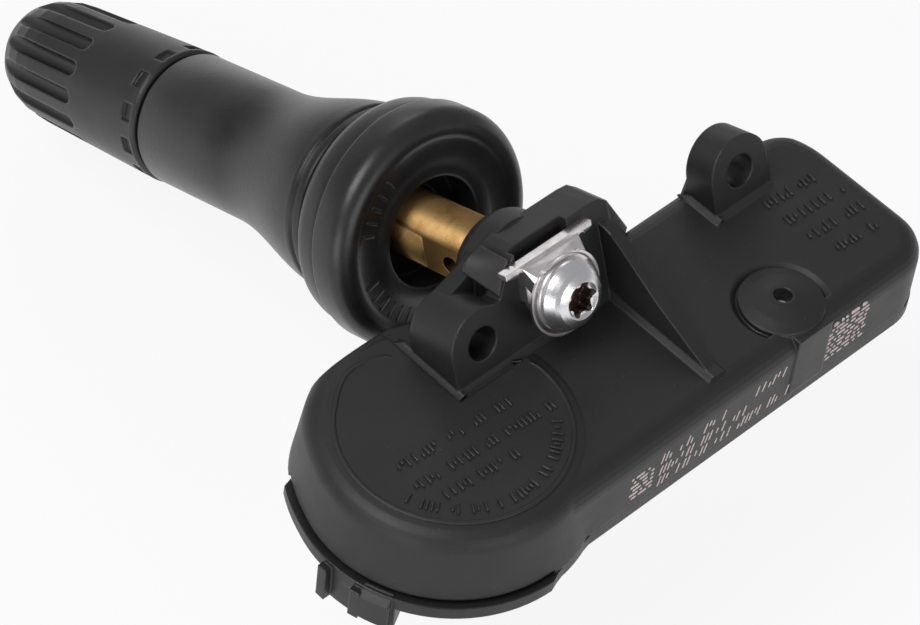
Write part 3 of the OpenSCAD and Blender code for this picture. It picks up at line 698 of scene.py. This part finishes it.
@dataclass
class Valve:
    """Rubber body, brass stem, cap and core.

    The stem's flats run over the distances flats in the CAD and over flats_seen in the photograph.
    """

    rubber_end: float = 41.0
    tip: float = 49.9
    thread_r: float = 3.85
    thread_depth: float = 0.42
    pitch: float = 0.794
    face: float = 12.05
    stem_r: float = 2.6
    flats: tuple[float, float] = (8.05, 11.8)
    flats_seen: tuple[float, float] = (6.4, 10.7)
    flats_height: float = 0.84
    flats_out: float = 0.2

    def thread(self) -> Shape:
        """Returns the helical thread that takes the cap."""
        shape = Shape()
        around, per_pitch = 72, 8
        start, end = self.rubber_end + 0.2, self.tip
        run_in, run_out, flank, crest_share = 0.5, 0.55, 1.35, 0.15
        rows = int((end - start) / self.pitch * per_pitch)
        rings = []
        for i in range(rows + 1):
            s = start + (end - start) * i / rows
            lead = min(1.0, (s - start) / run_in, (end - s) / run_out)
            ring = []
            for j in range(around):
                angle = 2 * math.pi * j / around
                phase = (s / self.pitch - j / around) % 1.0
                groove = max(0.0, min(1.0, flank * (1 - abs(2 * phase - 1)) - crest_share))
                crest = self.thread_r - self.thread_depth * (1 - lead)
                ring.append(valve_point(crest - self.thread_depth * groove * lead, angle, s))
            rings.append(ring)
        shape.loft(rings, caps=False)
        return shape

    def stem(self, material: bpy.types.Material) -> bpy.types.Object:
        """Builds the stem: the CAD mesh with its outer sleeve recut as a real thread.

        Args:
            material: the brass.

        Returns:
            The piece.
        """
        sleeve_from, sleeve_r = self.rubber_end + 0.22, 3.42
        work = bmesh.new()
        work.from_mesh(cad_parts["brass_stem"].data)
        bmesh.ops.remove_doubles(work, verts=work.verts, dist=1e-6)
        self.draw_back_flats(work)
        sleeve = []
        for f in work.faces:
            p = f.calc_center_median() / MM - SEAT
            s = p.dot(AXIS)
            r = (p - AXIS * s).length
            if s > sleeve_from and r > sleeve_r:
                sleeve.append(f)
        bmesh.ops.delete(work, geom=sleeve, context="FACES")
        thread = self.thread()
        start = len(work.verts)
        for p in thread.points:
            work.verts.new(p * MM)
        work.verts.ensure_lookup_table()
        for f in thread.faces:
            work.faces.new([work.verts[start + i] for i in f])
        mesh = bpy.data.meshes.new("stem_brass_threaded")
        work.to_mesh(mesh)
        work.free()
        piece = place(mesh, "stem_brass_threaded", material, Body.ROOT, Slot.BRASS, 22.0)
        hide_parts("brass_stem")
        return piece

    def rubber(self, material: bpy.types.Material) -> bpy.types.Object:
        """Builds the rubber body: the CAD profile with a smooth cone and the flange's soft lip.

        Args:
            material: the rubber.

        Returns:
            The piece.
        """
        profile = [
            (14.75, 4.3), (12.15, 4.3), (12.0, 4.4), (11.94, 4.6), (11.94, 5.3), (12.0, 5.5),
            (12.05, 5.8), (12.05, 7.15), (11.95, 7.35), (11.8, 7.55), (11.77, 7.75),
        ]
        profile += [
            (13.15 - 1.4 * math.cos(math.radians(a)), 8.02 + 1.4 * math.sin(math.radians(a)))
            for a in range(0, 91, 9)
        ]
        profile += [
            (14.72, 9.42), (14.92, 9.36), (15.0, 9.2), (15.06, 9.08), (15.16, 9.12), (15.5, 9.12),
            (16.6, 9.0), (17.1, 8.85), (17.4, 8.6), (17.48, 8.35), (17.3, 8.15), (16.4, 8.0),
            (16.15, 7.7), (16.15, 6.4), (16.45, 6.0), (16.75, 5.8), (18.05, 5.8), (18.55, 6.3),
            (18.62, 7.1), (18.7, 7.35), (18.85, 7.49), (19.4, 7.5), (19.47, 7.4), (19.52, 7.32),
            (19.68, 7.32), (19.74, 7.42), (19.85, 7.52), (20.1, 7.54),
        ]
        for step in range(13, 101, 3):
            bend = (1 + math.cos(math.pi * step / 100)) / 2
            profile.append((18.65 + 12.4 * step / 100, 5.4 + 2.2 * bend**1.05))
        profile += [
            (31.3, 5.4), (40.6, 5.36), (40.8, 5.28), (40.95, 5.15), (41.0, 5.0), (41.0, 3.62),
            (40.4, 3.76), (34.6, 3.76), (34.0, 3.26), (20.5, 3.26), (19.9, 3.76), (15.25, 3.76),
            (14.75, 2.66), (14.75, 4.3),
        ]
        around = 160
        shape = Shape()
        shape.loft(
            [
                [valve_point(r, 2 * math.pi * k / around, s) for k in range(around)]
                for s, r in profile
            ],
            caps=False,
        )
        piece = shape.build("rubber_body", material, Body.ROOT, Slot.RUBBER, 32.0)
        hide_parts("rubber_stem")
        return piece

    def draw_back_flats(self, work: bmesh.types.BMesh) -> None:
        """Moves the two flats and the cross hole towards the bracket, and makes the flats narrower.

        Args:
            work: the stem's mesh, changed in place.
        """
        start, end = self.flats
        hole_reach = 1.2
        for v in work.verts:
            p = v.co / MM - SEAT
            s, x, u = p.dot(AXIS), p.dot(ACROSS), p.dot(LIFT)
            r = math.hypot(x, u)
            if not (start - 0.1 < s < end + 0.1 and r > 1.9):
                continue
            if r > self.stem_r - 0.03:
                u *= self.flats_height
                x = math.copysign(math.sqrt(self.stem_r**2 - u**2), x)
            else:
                x += math.copysign(self.flats_out, x)
                u = u * self.flats_height if abs(u) > hole_reach else u - 0.2
            s = self.flats_seen[0] + (s - start) * (
                (self.flats_seen[1] - self.flats_seen[0]) / (end - start)
            )
            v.co = (SEAT + AXIS * s + ACROSS * x + LIFT * u) * MM

    def flange_ticks(self, material: bpy.types.Material) -> bpy.types.Object:
        """Builds two arcs of plain raised ticks on the flange face."""
        shape = Shape()
        rng = random.Random(5)
        for first, last in ((118, 158), (190, 246)):
            angle = float(first)
            while angle < last:
                width = rng.choice((0.5, 0.7, 0.9))
                a = math.radians(angle)
                outward = ACROSS * math.cos(a) + LIFT * math.sin(a)
                shape.dash(
                    valve_point(6.5, a, self.face), outward, -AXIS, 1.3, width * 0.4, 0.045
                )
                angle += 6.5 + 3.0 * width
        return shape.build("flange_ticks", material, Body.ROOT, Slot.RUBBER)

    def build(self) -> list[bpy.types.Object]:
        """Dresses the valve's nodes and builds its pieces."""
        rubber = MouldedRubber("rubber_satin", (0.0085, 0.0085, 0.0095)).build()
        cap = MouldedPlastic(
            "cap_plastic_black", (0.016, 0.016, 0.0175), roughness=0.4, depth=0.006, edge=0.3
        ).build()
        brass = TurnedBrass("brass_turned", (0.34, 0.215, 0.088), roughness=0.45).build()
        core = TurnedBrass("brass_core", (0.82, 0.60, 0.28), roughness=0.3).build()
        seal = MouldedRubber("seal_black", (0.012, 0.012, 0.012), edge=0.05).build()
        red = MouldedRubber("gasket_red_rubber", (0.30, 0.022, 0.016), edge=0.05).build()
        liner = MouldedRubber("liner_rubber_red", (0.20, 0.03, 0.02), edge=0.08).build()
        spring = BrightMetal("spring_wire", (0.62, 0.63, 0.65), edge=0.03).build()
        dress_node("valve_cap", cap)
        dress_node("cap_liner", liner)
        for node in ("core_body", "core_pin", "core_plunger"):
            dress_node(node, core)
        dress_node("core_gasket", red)
        dress_node("core_seat_seal", seal)
        dress_node("core_spring", spring)
        return [self.rubber(rubber), self.stem(brass), self.flange_ticks(rubber)]


@dataclass(frozen=True)
class Strokes:
    """Sizes of a row of plain strokes, in millimetres."""

    height: float
    width: float
    step: float
    relief: float
    slant: float = 0.0


@dataclass
class Casing:
    """Housing, base cover and what is moulded or printed on them.

    The fields down to collar are places in the CAD. The others say how far the photograph's collar,
    web, walls and flange are from the CAD's, and where each change starts.
    """

    disc_z: float = -3.6
    deck_z: float = -3.9
    front_y: float = -13.5
    round_x: float = -11.9
    round_y: float = -3.4
    arc_r: float = 7.35
    collar_r: float = 4.3
    collar: tuple[float, float] = (4.5, 8.0)
    collar_seen: float = 6.35
    web_drop: float = 0.6
    back_from: float = 0.05
    back_end: float = 2.5
    back_more: float = 1.0
    neck_x: float = 4.3
    corner_x: float = 24.4
    corner_y: float = -1.7
    end_from: float = 23.0
    end_more: float = 0.95
    round_end_x: float = -4.0
    round_from: float = 0.5
    round_more: float = 0.65
    flange_from: float = 10.35
    flange_proud: float = 0.42
    flange_arc: tuple[float, float] = (-40.0, 90.0)
    rim_r: float = 8.5

    def widened(self, p: Vector) -> Vector:
        """Point of a wall moved out to where the photograph has it.

        Args:
            p: the point, from the seat, in millimetres.

        Returns:
            The moved point; points away from the walls come back as they were.
        """
        moved = p.copy()
        if p.x > self.corner_x and self.corner_y < p.y < self.back_end:
            moved.y += self.back_more * ramp(p.y, self.corner_y, 1.75)
        elif (
            p.x > self.neck_x
            and self.back_from < p.y < self.back_end
            and p.z < self.deck_z + 0.02
        ):
            moved.y += self.back_more * ramp(p.x, self.neck_x, 1.2)
        if p.x > self.end_from:
            moved.x += self.end_more * ramp(p.x, self.end_from, 1.1)
        if p.x < self.round_end_x and p.y > self.round_from:
            moved.y += self.round_more * ramp(p.y, self.round_from, 3.5)
        return moved

    def shell(self, material: bpy.types.Material) -> bpy.types.Object:
        """Builds the shell: the CAD mesh with a blunter collar, a lower web and fuller walls.

        Args:
            material: the moulded plastic.

        Returns:
            The piece.
        """
        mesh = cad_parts["housing"].data.copy()
        mesh.name = "housing_shell"
        start, end = self.collar
        for v in mesh.vertices:
            p = v.co / MM - SEAT
            s, x, u = p.dot(AXIS), p.dot(ACROSS), p.dot(LIFT)
            if s > start + 0.1 and math.hypot(x, u) < self.collar_r:
                s = start + (s - start) * (self.collar_seen - start) / (end - start)
            elif 2.8 < s < 4.8 and -4.3 < x < -3.8 and 2.85 < u < 3.1:
                u -= self.web_drop
            elif p.z < self.deck_z + 0.35:
                v.co = (SEAT + self.widened(p)) * MM
                continue
            v.co = (SEAT + AXIS * s + ACROSS * x + LIFT * u) * MM
        piece = place(mesh, "housing_shell", material, Body.ROOT, Slot.HOUSING)
        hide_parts("housing")
        return piece

    def cover(self, material: bpy.types.Material) -> bpy.types.Object:
        """Builds the base cover: walls to match the shell's, and a flange on part of the round end.

        Args:
            material: the moulded plastic.

        Returns:
            The piece.
        """
        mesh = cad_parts["base_cover"].data.copy()
        mesh.name = "cover_shell"
        for v in mesh.vertices:
            p = self.widened(v.co / MM - SEAT)
            out = Vector((p.x - self.round_x, p.y - self.round_y, 0.0))
            angle = math.degrees(math.atan2(-out.y, -out.x))
            if out.length > self.flange_from and angle > -110.0:
                before = ramp(-angle, -self.flange_arc[0], 3.0)
                after = ramp(angle, self.flange_arc[1], 3.0)
                p -= out.normalized() * before * (out.length - self.flange_from)
                p.y += after * max(0.0, min(self.flange_proud, self.front_y - p.y))
            v.co = (SEAT + p) * MM
        piece = place(mesh, "cover_shell", material, Body.ROOT, Slot.COVER)
        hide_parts("base_cover")
        return piece

    def hood_shoulder(self, material: bpy.types.Material) -> bpy.types.Object:
        """Builds the hood's left shoulder, which falls from the roof to the lug.

        Args:
            material: the moulded plastic.

        Returns:
            The piece.
        """
        front = (
            (-2.95, -1.0), (-2.95, 3.75), (-3.45, 3.35), (-3.9, 2.6), (-4.2, 1.9), (-4.4, 1.45),
            (-4.25, 1.15), (-3.7, 0.9), (-3.6, -1.0),
        )
        back = (
            (-2.95, -1.0), (-2.95, 3.98), (-3.7, 3.85), (-4.3, 3.6), (-4.75, 3.25), (-4.95, 2.85),
            (-4.8, 2.5), (-4.1, 2.2), (-4.0, -1.0),
        )
        first, depth, steps = 0.02, 2.93, 6
        rings = []
        for k in range(steps + 1):
            share = k / steps
            rings.append([
                SEAT + AXIS * (first + depth * share)
                + ACROSS * (a[0] + (b[0] - a[0]) * share)
                + LIFT * (a[1] + (b[1] - a[1]) * share)
                for a, b in zip(front, back)
            ])
        shape = Shape()
        shape.loft(rings)
        return shape.build("hood_shoulder", material, Body.ROOT, Slot.HOUSING, 40.0)

    def stroke_row(
        self, shape: Shape, start: Vector, end: Vector, up: Vector, size: Strokes,
        rng: random.Random,
    ) -> None:
        """Adds one row of plain strokes, in groups, to a flat surface.

        Args:
            shape: the shape that takes them.
            start: middle of the row's first end.
            end: middle of its other end.
            up: the surface's outward direction.
            size: sizes of the strokes.
            rng: seeded source of the lengths and gaps.
        """
        run = (end - start).length
        along = (end - start).normalized()
        tall = (up.cross(along) + along * size.slant).normalized()
        at = 0.0
        while at < run:
            for _ in range(rng.choice((3, 5, 6, 8))):
                if at >= run:
                    break
                length = size.height * rng.choice((1.0, 1.0, 0.55))
                shift = 0.0
                if length < size.height:
                    shift = rng.choice((-0.22, 0.0, 0.22)) * size.height
                foot = start + along * at + tall * shift
                shape.dash(foot, tall, up, length, size.width, size.relief)
                at += size.step * rng.choice((1.0, 1.0, 1.6))
            at += size.step * 1.6

    def disc_marks(self, material: bpy.types.Material) -> bpy.types.Object:
        """Builds the disc's plain relief: strokes in three rows and an arc, with a bead round."""
        shape = Shape()
        rng = random.Random(11)
        size = Strokes(height=0.9, width=0.2, step=0.4, relief=0.16)
        for x0, y0, x1, y1 in (
            (-17.4, -3.6, -6.3, -4.3), (-17.6, -5.6, -4.6, -6.45), (-16.5, -7.45, -9.9, -8.0)
        ):
            start, end = (housing_point(x, y, self.disc_z) for x, y in ((x0, y0), (x1, y1)))
            self.stroke_row(shape, start, end, UP, size, rng)
        angle = 201.0
        while angle < 330.0:
            a = math.radians(angle)
            outward = Vector((math.cos(a), math.sin(a), 0.0))
            centre = housing_point(self.round_x, self.round_y, self.disc_z) + outward * self.arc_r
            shape.dash(centre, outward, UP, rng.choice((0.9, 0.9, 0.5)), 0.2, 0.16)
            angle += rng.choice((2.9, 2.9, 2.9, 4.4, 8.2))
        path = [(13.0, 7.6), (9.0, 8.1), (4.0, 8.42)]
        path += [(-3.0 * k, self.rim_r) for k in range(79)]
        path += [(-240.0, 8.6), (-246.0, 8.7), (-252.0, 8.75), (-258.0, 8.65), (-264.0, 8.4),
                 (-269.0, 8.15), (-274.0, 7.9), (-277.5, 7.5), (-279.0, 7.0)]
        rings = []
        for k, (angle, radius) in enumerate(path):
            a = math.radians(angle)
            outward = Vector((math.cos(a), math.sin(a), 0.0))
            fade = min(1.0, k / 5, (len(path) - 1 - k) / 3)
            middle = housing_point(self.round_x, self.round_y, self.disc_z) + outward * radius
            rings.append([
                middle + outward * (0.2 * math.cos(b)) + UP * (0.1 * fade * math.sin(b) - 0.03)
                for b in (math.radians(-40 + 26 * j) for j in range(11))
            ])
        shape.loft(rings)
        return shape.build("disc_relief", material, Body.ROOT, Slot.HOUSING)

    def deck_marks(self, material: bpy.types.Material) -> bpy.types.Object:
        """Builds the fine rows on the long end of the deck."""
        shape = Shape()
        rng = random.Random(23)
        size = Strokes(height=0.95, width=0.2, step=0.42, relief=0.15)
        for x0, y0, x1, y1 in (
            (20.9, -2.7, 26.2, -3.0), (21.0, -4.8, 26.6, -5.1), (21.2, -6.9, 26.6, -7.2),
            (22.0, -9.0, 26.0, -9.2),
        ):
            start, end = (housing_point(x, y, self.deck_z) for x, y in ((x0, y0), (x1, y1)))
            self.stroke_row(shape, start, end, UP, size, rng)
        return shape.build("deck_relief", material, Body.ROOT, Slot.HOUSING)

    def side_print(self, material: bpy.types.Material) -> bpy.types.Object:
        """Builds the pale print on the front wall: slanted strokes and two hatched patches."""
        shape = Shape()
        rng = random.Random(31)
        out = Vector((0.0, -1.0, 0.0))
        size = Strokes(height=1.05, width=0.17, step=0.42, relief=0.015, slant=0.25)
        for x0, x1, z in (
            (-0.5, 6.1, -6.6), (-0.5, 8.3, -7.95), (-0.5, 13.4, -9.2), (9.3, 12.7, -6.6)
        ):
            start, end = (housing_point(x, self.front_y, z) for x in (x0, x1))
            self.stroke_row(shape, start, end, out, size, rng)
        for x0, x1, z0, z1 in ((16.3, 21.2, -5.2, -9.7), (-3.7, -1.3, -6.6, -9.7)):
            step = 0.46
            for k in range(int((z0 - z1) / step)):
                at = x0 + 0.25 * (k % 2)
                while at < x1 - 0.3:
                    length = min(rng.choice((0.3, 0.55, 0.9)), x1 - at)
                    spot = housing_point(at + length / 2, self.front_y, z0 - step * k)
                    shape.dash(spot, ACROSS, out, length, 0.26, 0.015)
                    at += length + rng.choice((0.16, 0.3))
        return shape.build("side_print", material, Body.ROOT, Slot.HOUSING)

    def build(self) -> list[bpy.types.Object]:
        """Dresses the housing and the cover and builds their marks."""
        shell = MouldedPlastic("housing_plastic_black", (0.0135, 0.0135, 0.0143)).build()
        cover = MouldedPlastic(
            "cover_plastic_black", (0.009, 0.009, 0.0095), roughness=0.46, edge=0.2
        ).build()
        ink = Ink("print_ink", (0.68, 0.56, 0.56)).build()
        return [
            self.shell(shell),
            self.cover(cover),
            self.hood_shoulder(shell),
            self.disc_marks(shell),
            self.deck_marks(shell),
            self.side_print(ink),
        ]


@dataclass
class Clamp:
    """Clamp screw and the bright plate under it."""

    strip_drop: float = 0.3

    def build(self) -> list[bpy.types.Object]:
        """Builds the plate, with its strip a little lower than the CAD's, and dresses the screw."""
        # The plate gets painted shade on the lower side of its dish ring.
        plate = BrightMetal(
            "plate_steel_bright", (0.80, 0.77, 0.775), roughness=0.33, painted_shade_ring=(2.75, 3.32)
        ).build()
        # The screw gets painted shade in the bottom of its drive recess.
        screw = BrightMetal(
            "screw_steel_bright", (0.80, 0.79, 0.81), roughness=0.27, brush=(9.0, 9.0, 9.0),
            marks=0.3, drive_shade_r=1.75, drive_shade_s=-3.3,
        ).build()
        dress_node("clamp_screw", screw)
        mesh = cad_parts["clamp_plate"].data.copy()
        mesh.name = "plate_pressed"
        for v in mesh.vertices:
            if (v.co / MM - SEAT).dot(LIFT) > 2.9:
                v.co -= LIFT * (self.strip_drop * MM)
        piece = place(mesh, "plate_pressed", plate, Body.ROOT, Slot.PLATE)
        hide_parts("clamp_plate")
        return [piece]


@dataclass
class Electronics:
    """Parts inside the housing."""

    def build(self) -> list[bpy.types.Object]:
        """Dresses the inner nodes."""
        finishes = {
            "circuit_board": BoardMask("board_mask"),
            "battery_cell": BrightMetal("cell_can", (0.72, 0.73, 0.75), roughness=0.3),
            "battery_tab_positive": BrightMetal("tab_nickel_plus", (0.70, 0.68, 0.62), edge=0.04),
            "battery_tab_negative": BrightMetal("tab_nickel_minus", (0.68, 0.66, 0.61), edge=0.04),
            "pressure_chip": InnerPart("chip_epoxy", (0.02, 0.02, 0.022), (0.03, 0.03, 0.032)),
            "motion_chip": InnerPart(
                "chip_epoxy_dark", (0.015, 0.015, 0.016), (0.025, 0.025, 0.026)
            ),
            "port_gasket": InnerPart("port_gasket_rubber", (0.22, 0.04, 0.025), (0.27, 0.05, 0.03)),
            "port_filter": InnerPart(
                "filter_felt", (0.75, 0.75, 0.72), (0.86, 0.86, 0.84), scale=7.0
            ),
            "receiver_coil_core": InnerPart("ferrite", (0.035, 0.032, 0.032), (0.05, 0.048, 0.046)),
            "receiver_coil_winding": Winding("copper_winding"),
            "antenna_loop": BrightMetal("antenna_wire", (0.80, 0.62, 0.33), edge=0.06),
            "timing_crystal": BrightMetal("crystal_can", (0.76, 0.77, 0.79), edge=0.08),
            "board_capacitors": InnerPart(
                "capacitor_ceramic", (0.42, 0.27, 0.15), (0.5, 0.34, 0.2), roughness=0.35
            ),
        }
        for node, finish in finishes.items():
            dress_node(node, finish.build())
        return []


@dataclass
class Studio:
    """Camera at the photograph's place, pale floor and soft lamps."""

    target: tuple[float, float, float] = (-1.466, -9.770, -1.821)
    distance: float = 289.963
    azimuth: float = -48.963
    elevation: float = 49.204
    roll: float = 7.389
    lens: float = 154.19
    floor_z: float = -24.0
    floor_half: float = 1500.0
    floor_seen: float = 0.88
    floor_mirrored: float = 1.0
    backdrop_lit: float = 0.36
    backdrop_mirrored: float = 0.2

    def camera(self) -> None:
        """Makes the camera and puts it where the photograph was taken."""
        a, e, r = (math.radians(v) for v in (self.azimuth, self.elevation, self.roll))
        back = Vector((math.sin(a) * math.cos(e), -math.cos(a) * math.cos(e), math.sin(e)))
        right = Vector((math.cos(a), math.sin(a), 0.0))
        up = back.cross(right)
        right, up = right * math.cos(r) + up * math.sin(r), up * math.cos(r) - right * math.sin(r)
        data = bpy.data.cameras.new("camera")
        data.lens, data.sensor_width = self.lens, 36.0
        data.clip_start, data.clip_end = 0.01, 10.0
        made = bpy.data.objects.new("camera", data)
        turn = Matrix((right, up, back)).transposed().to_4x4()
        spot = (Vector(self.target) + back * self.distance) * MM
        made.matrix_world = Matrix.Translation(spot) @ turn
        bpy.context.scene.collection.objects.link(made)
        bpy.context.scene.camera = made

    def lamp(
        self, name: str, spot: tuple[float, float, float], size: tuple[float, float], watts: float
    ) -> None:
        """Adds a soft lamp that faces the object.

        Args:
            name: the lamp's name.
            spot: its place in millimetres.
            size: its width and height in millimetres.
            watts: its power.
        """
        data = bpy.data.lights.new(name, "AREA")
        data.shape = "RECTANGLE"
        data.size, data.size_y = size[0] * MM, size[1] * MM
        data.energy = watts
        made = bpy.data.objects.new(name, data)
        made.location = Vector(spot) * MM
        aim = Vector(self.target) - Vector(spot)
        made.rotation_mode = "QUATERNION"
        made.rotation_quaternion = aim.to_track_quat("-Z", "Y")
        bpy.context.scene.collection.objects.link(made)

    def world(self) -> None:
        """Makes a white backdrop that lights the object gently."""
        world = bpy.data.worlds.new("world")
        bpy.context.scene.world = world
        world.use_nodes = True
        nodes = Nodes(world.node_tree)
        seen, mirrored = nodes.rays()
        white = seen.math("MAXIMUM", mirrored * self.backdrop_mirrored)
        strength = nodes.value("ShaderNodeMapRange", {}, {0: white, 3: self.backdrop_lit, 4: 1.0})
        background = nodes.node("ShaderNodeBackground", {}, {"Strength": strength})
        nodes.node("ShaderNodeOutputWorld", {}, {0: background.outputs[0]})

    def floor(self) -> None:
        """Makes the pale floor, whose shadow stays faint."""
        half, z = self.floor_half, self.floor_z
        corners = ((-half, -half), (half, -half), (half, half), (-half, half))
        mesh = bpy.data.meshes.new("floor")
        mesh.from_pydata([Vector((x, y, z)) * MM for x, y in corners], [], [(0, 1, 2, 3)])
        material = bpy.data.materials.new("floor_white")
        material.use_nodes = True
        nodes = Nodes(material.node_tree)
        seen, mirrored = nodes.rays()
        share = (seen * self.floor_seen).math("MAXIMUM", mirrored * self.floor_mirrored)
        matt = nodes.node("ShaderNodeBsdfDiffuse", {}, {"Color": (0.82, 0.82, 0.83, 1.0)})
        glow = nodes.node("ShaderNodeEmission", {}, {"Strength": 1.0})
        mixed = nodes.node(
            "ShaderNodeMixShader", {}, {0: share, 1: matt.outputs[0], 2: glow.outputs[0]}
        )
        nodes.node("ShaderNodeOutputMaterial", {}, {0: mixed.outputs[0]})
        mesh.materials.append(material)
        made = bpy.data.objects.new("floor", mesh)
        bpy.context.scene.collection.objects.link(made)

    def build(self) -> None:
        """Sets the view and makes camera, world, floor and lamps."""
        bpy.context.scene.view_settings.view_transform = "Standard"
        self.camera()
        self.world()
        self.floor()
        self.lamp("key_soft", (-260.0, 60.0, 420.0), (260.0, 260.0), 1.35)
        self.lamp("fill_front", (-60.0, -420.0, 160.0), (300.0, 180.0), 0.4)
        self.lamp("fill_left", (-430.0, -120.0, 60.0), (240.0, 200.0), 0.4)
        self.lamp("rim_back", (260.0, 330.0, 240.0), (200.0, 200.0), 0.2)


def main() -> None:
    """Builds the looks in order and reports each piece."""
    logging.basicConfig(level=logging.INFO, format="%(name)s: %(message)s")
    Studio().build()
    for part in (Valve(), Casing(), Clamp(), Electronics()):
        for piece in part.build():
            LOG.info("%s: %d faces", piece.name, len(piece.data.polygons))


if __name__ == "__main__":
    main()
